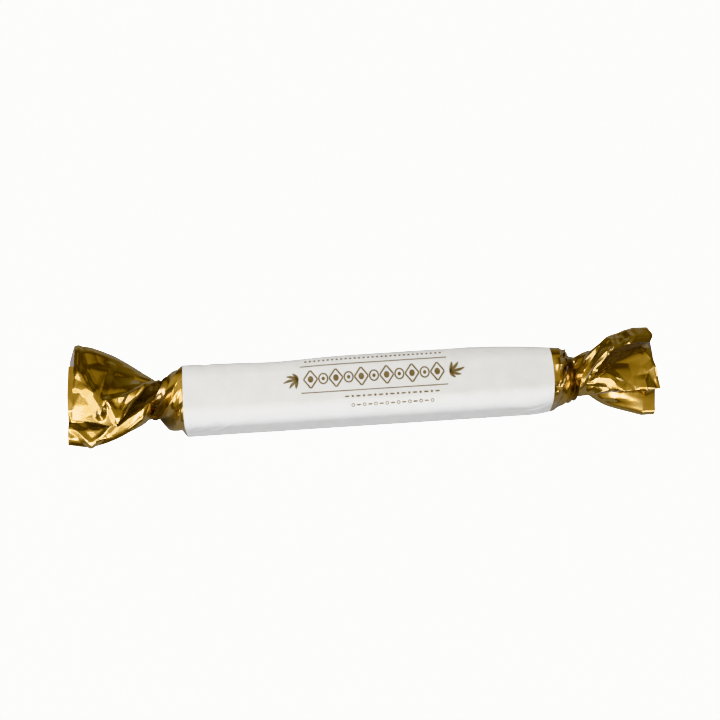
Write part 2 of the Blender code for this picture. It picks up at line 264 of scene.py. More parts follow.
def pleat_wave(turns):
    """+1 on a pleat's ridge and -1 in the valley between two, with straight sides."""
    uneven = turns + PLEAT_UNEVENNESS * np.sin(4 * math.pi * turns + PLEAT_PHASE)
    return 1 - 4 * np.abs(np.mod(PLEATS * uneven, 1.0) - 0.5)


def fine_pleat_wave(turns):
    return 1 - 4 * np.abs(np.mod(FINE_PLEATS * turns + np.sin(5 * math.pi * turns), 1.0) - 0.5)


# %% [markdown]
# The sheet goes a little more than once round the bar, so its two long edges overlap. If both layers
# had the same radius they would cut through each other, and the surface would flicker. So the layer
# under the overlap is drawn in a little on the bar, and at the necks the radius grows steadily from
# the inner edge to the outer one, as in a roll.

# %% Where the sheet overlaps itself
OVERLAP_TURNS = 0.06
NECK_LAP = 0.62
BAR_LAP = 0.12
LAP_RAMP_TURNS = 0.02


def bar_lap(turns):
    """On the bar the sheet's first stretch lies under its last one."""
    under = 1 - smooth_step(OVERLAP_TURNS, OVERLAP_TURNS + LAP_RAMP_TURNS, turns)
    return -BAR_LAP * under


def pleated_neck_radius(tail, turns):
    lap = NECK_LAP * (turns / (1 + OVERLAP_TURNS) - 0.5)
    pleats = PLEAT_DEPTH * pleat_wave(turns) + FINE_PLEAT_DEPTH * fine_pleat_wave(turns)
    return tail.neck_radius + pleats + lap


# %% A shoulder's rings
def placed(x, radius, angle, middle):
    """3D points from polar ones about (middle across, middle above mid height)."""
    across = middle[0] + radius * np.cos(angle)
    up = MID_HEIGHT + middle[1] + radius * np.sin(angle)
    return np.stack([x + 0 * across, across, up], axis=-1)


def end_positions(tail, section):
    return tail.end_x + tail.end_slant * section[..., 0] / (BAR_WIDTH / 2)


def neck_positions(tail, radius, angle):
    return tail.neck_x + tail.neck_slant * radius * np.cos(angle) / tail.neck_radius


def end_polar(tail, turns):
    """The end section's own radius and angle, going on past one turn."""
    section = uneven_section(tail.end_x, turns)
    radius, angle = polar(section)
    return section, radius + bar_lap(turns), angle


def shoulder_ring(tail, share, turns):
    """Between the bar's end, at share 0, and the neck, at share 1. It is pressed no lower than the
    bar's underside and no higher than its top, which the turning corners would otherwise pass."""
    section, bar_radius, bar_angle = end_polar(tail, turns)
    neck_radius = pleated_neck_radius(tail, turns)
    angle = bar_angle + tail.turn_to_neck * share**tail.turning
    narrowing_up, narrowing_down = tail.narrowing
    narrowing = mix(narrowing_down, narrowing_up, 0.5 + 0.5 * np.cos(angle))
    radius = mix(bar_radius, neck_radius, share**narrowing)
    radius += tail.shoulder_fold * math.sin(math.pi * share) * (pleat_wave(turns) - 1)
    neck_x = neck_positions(tail, neck_radius, bar_angle + tail.turn_to_neck)
    x = mix(end_positions(tail, section), neck_x, share)
    ring = placed(x, radius, angle, tail.neck_middle * share)
    ring[:, 2] = np.clip(ring[:, 2], 0.0, BAR_HEIGHT)
    return ring


# %% [markdown]
# ## From the neck to the mouth
#
# A real fold isn't a knife edge, so each corner of the mouth's edge is rounded a little. The edge is
# then divided evenly along its length, which gives every column of the sheet its place at the
# mouth. Between neck and mouth a column's radius and angle go from one to the other. The radius
# follows the flare, so that the tail's outline bulges as the real one does, and the angle settles
# soon, because the twist lives close to the neck.

# %% The mouth, divided evenly
FOLD_RADIUS = 0.55
LARGEST_CUT = 0.35
POINTS_A_FOLD = 7


def with_round_folds(corners, radius):
    """The polyline with each inner corner replaced by a small curve."""
    points = [corners[0]]
    for before, corner, after in zip(corners, corners[1:], corners[2:]):
        length_before = np.linalg.norm(before - corner)
        length_after = np.linalg.norm(after - corner)
        cut = min(radius, LARGEST_CUT * length_before, LARGEST_CUT * length_after)
        first = mix(corner, before, cut / length_before)
        last = mix(corner, after, cut / length_after)
        for share in np.linspace(0.0, 1.0, POINTS_A_FOLD):
            points.append(mix(mix(first, corner, share), mix(corner, last, share), share))
    return np.array(points + [corners[-1]])


def mouth_edge(tail, columns):
    """The cut edge, divided evenly: its x, and its radius and angle about the mouth's middle."""
    points = with_round_folds(tail.mouth, FOLD_RADIUS)
    along = np.concatenate([[0.0], np.cumsum(np.linalg.norm(np.diff(points, axis=0), axis=1))])
    wanted = np.linspace(0.0, along[-1], columns)
    even = np.stack([np.interp(wanted, along, points[:, k]) for k in range(3)], axis=1)
    radius, angle = polar(even[:, 1:] - [tail.mouth_middle[0], 0.0])
    return even[:, 0], radius, angle, along[-1]


for side, tail in (("left", LEFT), ("right", RIGHT)):
    print("Cut edge of the", side, "tail in mm:", round(mouth_edge(tail, 2)[3], 1))

# %% The tail's grid
TAIL_SETTLING = 2.6


def flare_share(tail, angle, share):
    """How far the tail has opened at this share of its length, from 0 at the neck to 1."""
    upper = 0.5 + 0.5 * np.cos(angle)
    gain = mix(tail.flare_down[0], tail.flare_up[0], upper)
    power = mix(tail.flare_down[1], tail.flare_up[1], upper)
    return np.minimum(1.0, gain * share**power)


def tail_grid(tail, shares, columns):
    """Rows of points from the neck, at share 0, to the mouth, at share 1."""
    turns = np.linspace(0.0, 1.0 + OVERLAP_TURNS, columns)
    neck_radius = pleated_neck_radius(tail, turns)
    neck_angle = end_polar(tail, turns)[2] + tail.turn_to_neck
    neck_x = neck_positions(tail, neck_radius, neck_angle)
    mouth_x, mouth_radius, mouth_angle, edge_length = mouth_edge(tail, columns)
    extra = (neck_angle.mean() + tail.turn_to_mouth - mouth_angle.mean()) / (2 * math.pi)
    mouth_angle = mouth_angle + 2 * math.pi * round(extra)
    rows = []
    for share in shares:
        radius = mix(neck_radius, mouth_radius, flare_share(tail, mouth_angle, share))
        angle = mix(neck_angle, mouth_angle, 1 - (1 - share) ** TAIL_SETTLING)
        middle = mix(tail.neck_middle, tail.mouth_middle, share)
        rows.append(placed(mix(neck_x, mouth_x, share), radius, angle, middle))
    return np.array(rows), edge_length


# %% [markdown]
# ## Creases
#
# Foil can't stretch. Where it is bent two ways it breaks into flat facets with straight, sharp
# creases between them, and it is these facets that throw the hard bright and dark patches. A crease
# is added here as a straight ridge or valley drawn on the flat sheet: its height falls off evenly to
# both sides, which leaves two flat facets and an edge. A few are listed one by one where the foil's
# main creases run, and the rest are drawn at random from a fixed seed. A noise displacement would be
# quicker, but it gives round bumps, which look like wet cloth rather than foil.

# %% Creases on the flat sheet
class Crease:
    """A ridge, or a valley if its height is negative, through places (across, along) on the flat
    sheet, in mm. Across is counted from the sheet's inner edge, and along from the neck."""

    def __init__(self, places, height, half_width, soft=False):
        self.places = np.array(places, float)
        self.height = height
        self.half_width = half_width
        self.soft = soft

    def distance(self, flat):
        nearest = np.full(flat.shape[:-1], np.inf)
        for start, end in zip(self.places, self.places[1:]):
            along = end - start
            share = np.clip((flat - start) @ along / (along @ along), 0.0, 1.0)
            away = flat - start - share[..., None] * along
            nearest = np.minimum(nearest, np.linalg.norm(away, axis=-1))
        return nearest

    def lift(self, flat):
        away = self.distance(flat) / self.half_width
        if self.soft:
            return self.height * np.exp(-1.5 * away**2)
        return self.height * np.maximum(0.0, 1 - away)


class Pull:
    """A place on the sheet that is drawn to one side by hand, with what lies within its reach."""

    def __init__(self, place, reach, by):
        self.place, self.reach, self.by = np.array(place), np.array(reach), np.array(by)

    def shift(self, flat):
        away = ((flat - self.place) / self.reach) ** 2
        return np.exp(-away.sum(axis=-1))[..., None] * self.by


# %% [markdown]
# The main folds of a tail make a net rather than single lines: its corners are the places where
# creases meet, each standing some way off the rolled sheet, and what lies between them is flat. So
# the corners are written down, and a Delaunay triangulation joins them into triangles, which are the
# facets. How a facet leans decides whether it mirrors the bright panel or the dark room. That is why
# the corners' heights were worked out by least squares from how bright the real facets are, and the
# lists LEFT_FACETS and RIGHT_FACETS below are the results.

# %% A net of facets
class Facets:
    """Flat facets between crease corners (across, along, height) on the flat sheet, in mm. Outside the
    corners nothing is lifted."""

    def __init__(self, corners):
        corners = np.array(corners)
        places = [Vector(corner) for corner in corners[:, :2]]
        found = delaunay_2d_cdt(places, [], [], 0, 1e-4)
        self.places = np.array([place[:] for place in found[0]])
        self.heights = corners[[came_from[0] for came_from in found[3]], 2]
        self.triangles = found[2]

    def lift(self, flat):
        lift = np.zeros(flat.shape[:-1])
        for triangle in self.triangles:
            corner, second, third = self.places[list(triangle)]
            shares = (flat - corner) @ np.linalg.inv([second - corner, third - corner])
            rest = 1 - shares.sum(axis=-1)
            here = (shares.min(axis=-1) >= 0) & (rest >= 0)
            heights = self.heights[list(triangle)]
            lift[here] = (rest * heights[0] + shares @ heights[1:])[here]
        return lift


# %% Creases at random, and the sheet with all of them
CREST_WIDTH = 0.1
CREST_HEIGHT = 0.5


def random_creases(rng, count, low, high, lengths, heights, widths, heading, spread):
    """Creases with their middles between two corners of the flat sheet, mostly along one heading."""
    creases = []
    for _ in range(count):
        middle = rng.uniform(low, high)
        turned = heading + rng.normal(0.0, spread)
        half = 0.5 * rng.uniform(*lengths) * np.array([math.sin(turned), math.cos(turned)])
        height = rng.uniform(*heights) * rng.choice([-1.0, 1.0])
        creases.append(Crease((middle - half, middle + half), height, rng.uniform(*widths)))
    return creases


def creased(grid, flat, creases, fade):
    """The grid lifted along its normals by the creases, and how near each point is to a crest."""
    lift = sum(crease.lift(flat) for crease in creases)
    crest = np.zeros(flat.shape[:-1])
    for crease in creases:
        if isinstance(crease, Crease) and not crease.soft:
            # The crest value paints the gold paler along ridges: worn lacquer and a painted highlight.
            wear_and_highlight = max(0.0, crease.height) / (abs(crease.height) + CREST_HEIGHT)
            crest = np.maximum(crest, wear_and_highlight * np.exp(-((crease.distance(flat) / CREST_WIDTH) ** 2)))
    return grid + grid_normals(grid) * (lift * fade)[..., None], crest


def grid_normals(grid):
    """Outward unit normals of a grid whose rows are rings and whose columns run along."""
    along = np.gradient(grid, axis=0)
    across = np.gradient(grid, axis=1)
    normals = np.cross(across, along)
    return normals / np.maximum(np.linalg.norm(normals, axis=2, keepdims=True), 1e-9)


# %% [markdown]
# ## A sheet as a thin closed shell
#
# Each stretch of the sheet is a grid, and two copies of it, a foil's thickness apart, make a shell:
# gold outside and grey paper inside, closed by its cut edges. Real foil with its paper is a few
# hundredths of a millimetre thick, and so is this. A Solidify modifier would do the same, but here
# both sides keep the same flat coordinates, stored as a UV map named "sheet". The grid is passed to
# Blender in one go as arrays, which takes a fraction of the time that adding faces one by one would.

# %% A shell from a grid
FOIL_THICKNESS = 0.03
OUTSIDE, INSIDE = 0, 1
SHARP_FOLD = math.radians(40)


def shell_faces(rows, columns):
    """Quads of the outer and inner sides and of the four cut edges."""
    count = rows * columns
    index = np.arange(count).reshape(rows, columns)
    outer = np.stack([index[:-1, :-1], index[:-1, 1:], index[1:, 1:], index[1:, :-1]], axis=-1)
    outer = outer.reshape(-1, 4)
    inner = outer[:, ::-1] + count
    border = np.concatenate([index[0, :], index[1:, -1], index[-1, -2::-1], index[-2:0:-1, 0]])
    after = np.roll(border, -1)
    rim = np.stack([after, border, border + count, after + count], axis=-1)
    return np.concatenate([outer, rim, inner]), len(outer) + len(rim)


def make_sheet(name, grid, flat, crest, materials):
    """A closed shell whose outer side is the grid, with its inner side a foil's thickness inside."""
    rows, columns = grid.shape[:2]
    inner = grid - grid_normals(grid) * FOIL_THICKNESS
    points = np.concatenate([grid.reshape(-1, 3), inner.reshape(-1, 3)]) * MM
    faces, outer_count = shell_faces(rows, columns)
    mesh = bpy.data.meshes.new(name)
    mesh.vertices.add(len(points))
    mesh.vertices.foreach_set("co", points.ravel())
    mesh.loops.add(faces.size)
    mesh.loops.foreach_set("vertex_index", faces.ravel())
    mesh.polygons.add(len(faces))
    mesh.polygons.foreach_set("loop_start", np.arange(0, faces.size, 4))
    sides = np.full(len(faces), INSIDE)
    sides[:outer_count] = OUTSIDE
    mesh.polygons.foreach_set("material_index", sides)
    for material in materials:
        mesh.materials.append(material)
    layer = mesh.attributes.new("crest", "FLOAT", "POINT")
    layer.data.foreach_set("value", np.tile(crest.ravel(), 2))
    uv = mesh.uv_layers.new(name="sheet")
    flat_mm = np.tile(flat.reshape(-1, 2), (2, 1))[faces.ravel()]
    uv.data.foreach_set("uv", (flat_mm * MM).ravel())
    mesh.update(calc_edges=True)
    mesh.validate()
    turn_outwards(mesh)
    mesh.shade_smooth()
    mesh.set_sharp_from_angle(angle=SHARP_FOLD)
    piece = bpy.data.objects.new(name, mesh)
    bpy.context.scene.collection.objects.link(piece)
    print(name, len(mesh.polygons), "faces")
    return piece


def turn_outwards(mesh):
    mesh_edit = bmesh.new()
    mesh_edit.from_mesh(mesh)
    bmesh.ops.recalc_face_normals(mesh_edit, faces=mesh_edit.faces)
    mesh_edit.to_mesh(mesh)
    mesh_edit.free()


# %% [markdown]
# ## Materials
#
# The foil is aluminium under a gold lacquer. Light passes the lacquer, is tinted, and comes back off
# the metal, while the lacquer's own surface adds a sharp white gloss on top. So the material is a
# gold metal of medium roughness with a clear coat. The foil is backed with paper, whose fibres show
# through as a faint unevenness. Along the crests of the creases the gold is painted paler, partly as
# lacquer rubbed off and partly as a painted highlight on the ridge.
#
# The unevenness is one node group, used by the gold, the white print, the grey paper and the ink,
# each with its own values. The group gives only a height and a mask, and the shader stays in each
# material. It could be a painted texture, but noise in Object coordinates needs no picture and keeps
# its true size, as the pieces are never scaled.

# %% The foil's faint unevenness as a node group
def group_socket(tree, name, kind, direction, value=None):
    socket = tree.interface.new_socket(name=name, in_out=direction, socket_type=kind)
    if value is not None:
        socket.default_value = value


def new_node(tree, kind, **settings):
    node = tree.nodes.new(kind)
    for key, value in settings.items():
        setattr(node, key, value)
    return node


BLOTCHES_OVER_FIBRES = 3.0


def paper_backing_group():
    """Heights and blotches of paper under a skin. Both sizes go in as millimetres."""
    tree = bpy.data.node_groups.new("paper backing", "ShaderNodeTree")
    group_socket(tree, "Blotch Size", "NodeSocketFloat", "INPUT", 2.5)
    group_socket(tree, "Fibre Size", "NodeSocketFloat", "INPUT", 0.25)
    group_socket(tree, "Height", "NodeSocketFloat", "OUTPUT")
    group_socket(tree, "Blotches", "NodeSocketFloat", "OUTPUT")
    given = new_node(tree, "NodeGroupInput")
    result = new_node(tree, "NodeGroupOutput")
    place = new_node(tree, "ShaderNodeTexCoord")
    noises = {}
    for socket, detail in (("Blotch Size", 2.0), ("Fibre Size", 3.0)):
        scale = new_node(tree, "ShaderNodeMath", operation="DIVIDE")
        scale.inputs[0].default_value = 1 / MM
        tree.links.new(given.outputs[socket], scale.inputs[1])
        noise = new_node(tree, "ShaderNodeTexNoise")
        noise.inputs["Detail"].default_value = detail
        tree.links.new(place.outputs["Object"], noise.inputs["Vector"])
        tree.links.new(scale.outputs[0], noise.inputs["Scale"])
        noises[socket] = noise
    both = new_node(tree, "ShaderNodeMath", operation="MULTIPLY_ADD")
    tree.links.new(noises["Blotch Size"].outputs[0], both.inputs[0])
    both.inputs[1].default_value = BLOTCHES_OVER_FIBRES
    tree.links.new(noises["Fibre Size"].outputs[0], both.inputs[2])
    tree.links.new(both.outputs[0], result.inputs["Height"])
    tree.links.new(noises["Blotch Size"].outputs[0], result.inputs["Blotches"])
    return tree


PAPER_BACKING = paper_backing_group()


# %% Helpers that each material uses
def new_material(name, blotch_size, fibre_size, bump_strength, bump_depth):
    """A material whose Principled shader gets its Bump from the paper backing group."""
    material = bpy.data.materials.new(name)
    material.use_nodes = True
    tree = material.node_tree
    shader = tree.nodes["Principled BSDF"]
    backing = new_node(tree, "ShaderNodeGroup", node_tree=PAPER_BACKING)
    backing.inputs["Blotch Size"].default_value = blotch_size
    backing.inputs["Fibre Size"].default_value = fibre_size
    bump = new_node(tree, "ShaderNodeBump")
    bump.inputs["Strength"].default_value = bump_strength
    bump.inputs["Distance"].default_value = bump_depth * MM
    tree.links.new(backing.outputs["Height"], bump.inputs["Height"])
    tree.links.new(bump.outputs["Normal"], shader.inputs["Normal"])
    return material, tree, shader, backing.outputs["Blotches"]


MOST_NOISE = 0.3, 0.7


def spread(tree, value, low, high):
    """A Map Range node from MOST_NOISE, where a noise mostly lies, to low..high."""
    node = new_node(tree, "ShaderNodeMapRange")
    tree.links.new(value, node.inputs["Value"])
    node.inputs["From Min"].default_value, node.inputs["From Max"].default_value = MOST_NOISE
    node.inputs["To Min"].default_value = low
    node.inputs["To Max"].default_value = high
    return node.outputs["Result"]


def tinted(tree, factor, under, over):
    """A Mix node from a colour, or a socket with one, to another colour where the factor rises."""
    node = new_node(tree, "ShaderNodeMix", data_type="RGBA")
    tree.links.new(factor, node.inputs[0])
    if isinstance(under, bpy.types.NodeSocket):
        tree.links.new(under, node.inputs[6])
    else:
        node.inputs[6].default_value = (*under, 1.0)
    node.inputs[7].default_value = (*over, 1.0)
    return node.outputs[2]


def blotched(tree, blotches, darker, lighter):
    return tinted(tree, spread(tree, blotches, 0.0, 1.0), darker, lighter)


# %% [markdown]
# The gold has three tints. The lacquer itself is a brownish gold in faint blotches. Along a crest it
# is painted a paler gold, by the `crest` attribute that the sheets carry: partly lacquer rubbed thin,
# and partly a painted highlight on the ridge. In the necks tight foil shades itself, and light goes
# from fold to fold and gets browner each time. The sheet here is coarser than real foil and lets too
# much light in, so the gold is darkened there with painted shade, by its distance along the flat
# sheet, which the UV map gives.

# %% Gold foil
LACQUER = (0.54, 0.35, 0.075), (0.60, 0.40, 0.10)
# Paler gold along crests: lacquer rubbed thin, and a painted highlight on the ridge.
RUBBED_AND_HIGHLIGHT_GOLD = 0.80, 0.62, 0.33
SHADED_GOLD = 0.16, 0.075, 0.01
TIGHTEST_ALONG = -2.6
TIGHT_HALF_LENGTH = 0.8
GATHERED_HALF_LENGTH = 3.6
NECK_SHADE = 0.7


def neck_shade(tree):
    """0 on the tails and the bar, rising to NECK_SHADE where the sheet is gathered tightest."""
    flat = new_node(tree, "ShaderNodeUVMap", uv_map="sheet")
    parts = new_node(tree, "ShaderNodeSeparateXYZ")
    tree.links.new(flat.outputs["UV"], parts.inputs[0])
    away = new_node(tree, "ShaderNodeMath", operation="SUBTRACT")
    tree.links.new(parts.outputs["Y"], away.inputs[0])
    away.inputs[1].default_value = TIGHTEST_ALONG * MM
    distance = new_node(tree, "ShaderNodeMath", operation="ABSOLUTE")
    tree.links.new(away.outputs[0], distance.inputs[0])
    shade = new_node(tree, "ShaderNodeMapRange", interpolation_type="SMOOTHSTEP")
    tree.links.new(distance.outputs[0], shade.inputs["Value"])
    shade.inputs["From Min"].default_value = TIGHT_HALF_LENGTH * MM
    shade.inputs["From Max"].default_value = GATHERED_HALF_LENGTH * MM
    shade.inputs["To Min"].default_value = NECK_SHADE
    shade.inputs["To Max"].default_value = 0.0
    return shade.outputs["Result"]


def gold_foil():
    material, tree, shader, blotches = new_material("gold foil", 2.5, 0.25, 0.5, 0.02)
    crest = new_node(tree, "ShaderNodeAttribute", attribute_name="crest")
    # Paler gold on crests is worn lacquer plus a painted highlight; darker gold in the necks is painted
    # shade.
    wear_and_highlight = tinted(tree, crest.outputs["Fac"], blotched(tree, blotches, *LACQUER), RUBBED_AND_HIGHLIGHT_GOLD)
    tree.links.new(tinted(tree, neck_shade(tree), wear_and_highlight, SHADED_GOLD), shader.inputs["Base Color"])
    tree.links.new(spread(tree, blotches, 0.17, 0.23), shader.inputs["Roughness"])
    shader.inputs["Metallic"].default_value = 1.0
    shader.inputs["Coat Weight"].default_value = 1.0
    shader.inputs["Coat Roughness"].default_value = 0.14
    shader.inputs["Coat IOR"].default_value = 2.2
    return material


GOLD_FOIL = gold_foil()

# %% [markdown]
# The white print is thick, matt ink with a slightly cool tone. The sheet's paper side is bare and
# rougher, and grey rather than white, since the dark metal shows through it. Neither mirrors
# anything, so a plain dielectric shader is enough for both.

# %% White print and grey paper
PRINTED_WHITE = (0.58, 0.60, 0.64), (0.61, 0.63, 0.67)
BARE_GREY = (0.24, 0.215, 0.21), (0.30, 0.27, 0.265)


def matt_material(name, colours, roughness, *backing_and_bump):
    material, tree, shader, blotches = new_material(name, *backing_and_bump)
    tree.links.new(blotched(tree, blotches, *colours), shader.inputs["Base Color"])
    shader.inputs["Roughness"].default_value = roughness
    return material


WHITE_PRINT = matt_material("white print", PRINTED_WHITE, 0.55, 3.0, 0.3, 0.2, 0.02)
GREY_PAPER = matt_material("grey paper", BARE_GREY, 0.6, 2.0, 0.2, 0.3, 0.03)
print("Materials:", ", ".join(material.name for material in (GOLD_FOIL, WHITE_PRINT, GREY_PAPER)))

# %% [markdown]
# ## The gold ends of the sheet
#
# Each gold end is one grid from the white print's edge, over the shoulder and the neck, to the
# mouth. Rows are close together, because a crease is only as sharp as the grid is fine. On the right
# the print ends a little before the bar does, so that end starts with a collar on the bar itself.

# %% Where the white print ends
FIELD_EDGE_X = 33.9
FIELD_EDGE_BOW = 0.4


def field_edge(turns):
    """X of the white print's right-hand edge, which bows outwards at the middle of the top."""
    across = bar_section(turns)[..., 0] / (BAR_WIDTH / 2)
    return FIELD_EDGE_X - FIELD_EDGE_BOW * across**2


def bar_point(x, turns):
    """A point of the sheet on the straight bar."""
    section = uneven_section(x, turns)
    radius = np.hypot(section[..., 0], section[..., 1]) + bar_lap(turns)
    angle = np.arctan2(section[..., 1], section[..., 0])
    return np.stack([x, radius * np.cos(angle), MID_HEIGHT + radius * np.sin(angle)], axis=-1)


# %% [markdown]
# The creases are drawn on the flat sheet, so each point of the grid needs its flat place: across by
# its column and along by the mean distance between the rows. The creases fade out at the print's
# edge, where the sheet has to meet the white field, and are held back at the neck, where the pleats
# leave them no room.

# %% The grid of a gold end
COLUMNS = 300
TAIL_ROWS = 100
SHOULDER_ROWS = 34
SHEET_TURNS = np.linspace(0.0, 1.0 + OVERLAP_TURNS, COLUMNS)
EDGE_FADE = 1.0
NECK_FADE = 0.3, 2.0
NECK_SHARE = 0.4


def gold_end(tail, creases, pulls, collar):
    """The grid from the bar to the mouth, its flat places, and its crests."""
    rows, edge_length = tail_grid(tail, np.linspace(0.0, 1.0, TAIL_ROWS), COLUMNS)
    shoulder_shares = np.linspace(0.0, 1.0, SHOULDER_ROWS)[:-1]
    shoulder = [shoulder_ring(tail, share, SHEET_TURNS) for share in shoulder_shares]
    grid = np.concatenate([collar, np.array(shoulder), rows])
    step = np.linalg.norm(np.diff(grid, axis=0), axis=2).mean(axis=1)
    along = np.concatenate([[0.0], np.cumsum(step)])
    along -= along[len(collar) + len(shoulder)]
    across = np.linspace(0.0, edge_length, COLUMNS)
    flat = np.stack(np.meshgrid(across, along), axis=-1)
    if tail is LEFT:
        grid, flat = grid[::-1], flat[::-1]
    fade = smooth_step(along[0], along[0] + EDGE_FADE, flat[..., 1])
    fade *= mix(NECK_SHARE, 1.0, smooth_step(*NECK_FADE, np.abs(flat[..., 1])))
    grid = grid + sum(pull.shift(flat) for pull in pulls)
    grid, crest = creased(grid, flat, creases, fade)
    return grid, flat, crest


# %% [markdown]
# On the left tail the upper layer has a wide pale fold at the mouth, a small bright leaf of foil that
# stands up in the middle, and dark, crumpled foil behind it. Below it lies the lower layer, which
# shows as a strip at the front edge. Corners whose places lie outside the sheet, or far round it,
# hold the net down where nothing is folded.

# %% The left tail's folds
LEFT_FACETS = (
    (37.1, 17.5, -0.1), (38.3, 15.8, 0.03), (38.2, 13.8, 0.12), (38.7, 11.2, 0.12), (38.7, 9.3, 0.07),
    (39.4, 7.1, 0.11), (51.3, 3.3, 0.42), (40.9, 16.4, -0.04), (42.7, 16.4, 0.08), (44.6, 16.3, -0.1),
    (45.6, 14.8, 0.28), (45.4, 12.5, 0.08), (41.3, 11, -0.2), (40.9, 15, -0.2), (40.1, 13, -0.2),
    (44, 17.5, -0.2), (46.6, 17.5, -0.05), (47.2, 16.4, 0.34), (49.2, 17.4, 0.44), (51.3, 15.8, 0.42),
    (46.5, 14, 0.33), (48.5, 13, 0.45), (49.9, 12.7, 0.4), (48, 11.4, 0.43), (47.7, 8.8, -0.05),
    (48.5, 8.8, -0.15), (49.6, 9.3, 0.17), (50.6, 9.7, 0.23), (12, 9.5, -0.21), (50.4, 12.5, 0.46),
    (51.3, 17.5, 0.42), (50.3, 6, 0.12), (48.4, 6, 0.48), (49.9, 8.5, 0.19), (43.7, 7.1, -0.16),
    (45.1, 8.7, -0.2), (46.3, 5.1, -0.2), (11.5, 16.7, -0.52), (11.3, 13.8, -0.17), (12.4, 10.7, -0.33),
    (13.4, 9.8, -0.31), (15, 13.3, -0.12), (12.4, 15.3, -0.34), (13.6, 16.6, -0.17), (13.8, 14.6, -0.15),
    (13.8, 11.5, -0.12), (14.5, 8.8, -0.15), (14.8, 5.3, -0.14), (10.6, 6, -0.06), (15.3, 3.1, -0.15),
    (12.2, 7.5, -0.04), (15.3, 16.9, -0.15), (33, 19, 0), (33, 8, 0), (35, 2.5, 0), (53.5, 2.5, 0),
    (4, 2.5, 0), (4, 19, 0), (18.5, 19, 0), (19, 8, 0), (17.5, 2.5, 0), (42, 2.5, 0), (53.5, 19, 0.4),
    (53.5, 13, 0.45), (53.5, 9, 0.25),
)
LEFT_CREASES = [
    Facets(LEFT_FACETS),
    Crease([(10.5, 18.0), (10.2, 13.8), (10.4, 10.5)], -0.7, 1.8),
    Crease([(40.6, 10.9), (41.4, 11.2), (45.6, 12.3), (50.1, 12.7)], 0.35, 1.3),
    Crease([(48.0, 11.2), (47.8, 8.8), (49.2, 5.7), (50.6, 3.4)], 0.4, 1.1),
    Crease([(43.0, 16.6), (45.1, 15.9), (46.6, 14.0), (48.9, 12.7)], 0.35, 1.6),
    Crease([(50.4, 12.5), (48.0, 11.2), (49.4, 10.3), (50.8, 9.4)], 0.35, 0.9),
    Crease([(36.0, 16.9), (41.0, 16.9), (46.0, 17.1)], 0.25, 0.8),
    Crease([(11.6, 9.0), (13.6, 11.2), (14.8, 13.2)], 0.35, 1.0),
    Crease([(11.6, 16.9), (12.9, 15.1), (14.8, 13.2)], 0.35, 1.0),
]
LEFT_CREASES += random_creases(
    np.random.default_rng(5), count=10, low=(0.0, 1.0), high=(46.0, 16.0), lengths=(2.0, 6.0),
    heights=(0.06, 0.16), widths=(0.5, 1.4), heading=0.2, spread=0.8)
LEFT_PULLS = [
    Pull((52.0, 9.5), (3.2, 3.0), (0.0, -1.7, -0.5)),
]
print("Left tail:", len(LEFT_FACETS), "corners of facets and", len(LEFT_CREASES) - 1, "creases")

# %% [markdown]
# On the right tail the sheet's free edge is rolled over along the top, over a dark hollow. The lower
# layer opens below it as a smooth lobe with a pale fold along its edge. The collar has one sharp
# ridge on the top of the bar, with a dark valley below it.

# %% The right tail's folds
RIGHT_FACETS = (
    (6, 5, -0.6), (7.9, 8.4, -0.6), (13.5, 11.3, 0), (14.1, 7.7, 0), (6.8, 2.4, -0.6), (5.5, 3.6, -0.59),
    (6.2, 10, -0.54), (5.7, 15.6, -0.16), (7.4, 15.9, -0.34), (9.8, 13.8, -0.02), (4.8, 17.1, 0.17),
    (10.2, 17.1, -0.02), (10.1, 14.9, 0.15), (4.8, 12.6, -0.4), (3.9, 15.9, 0.09), (2, 13.6, 0.38),
    (1.6, 15.8, 0.5), (4.1, 10.1, -0.48), (5.2, 7.1, -0.58), (7.4, 12.9, -0.6), (36.6, 12.2, 0.15),
    (36.7, 13.6, 0.3), (39.2, 13.3, -0.15), (38.2, 12.1, -0.15), (38.2, 15.5, 0.08), (39, 17, -0.15),
    (36.5, 17.1, 0.3), (37.1, 9.3, 0.3), (39, 8.9, -0.15), (37.5, 11.3, 0.28), (36.3, 6.2, -0.15),
    (38.9, 5.8, -0.15), (33.3, 3.4, 0.3), (3.9, 4.4, -0.6), (37.8, 1.9, -0.15), (32.8, 1, 0.02),
    (14, 10.1, 0), (13.5, 16.8, 0), (15.2, 11.1, -0.11), (15.1, 17, 0), (16.3, 7.9, 0),
    (16.8, 16.5, -0.06), (17.2, 12.1, -0.12), (14.3, 13.8, 0), (7.2, 9.4, -0.47), (8.7, 11.3, -0.58),
    (33, 18.5, 0), (32, 8, 0), (-1, 1, 0), (-1, 18.5, 0), (20, 1, 0), (20, 9, 0), (20, 18.5, 0),
    (43, 1, 0), (43, 18.5, 0), (10, 1, 0), (31, 1, 0),
)
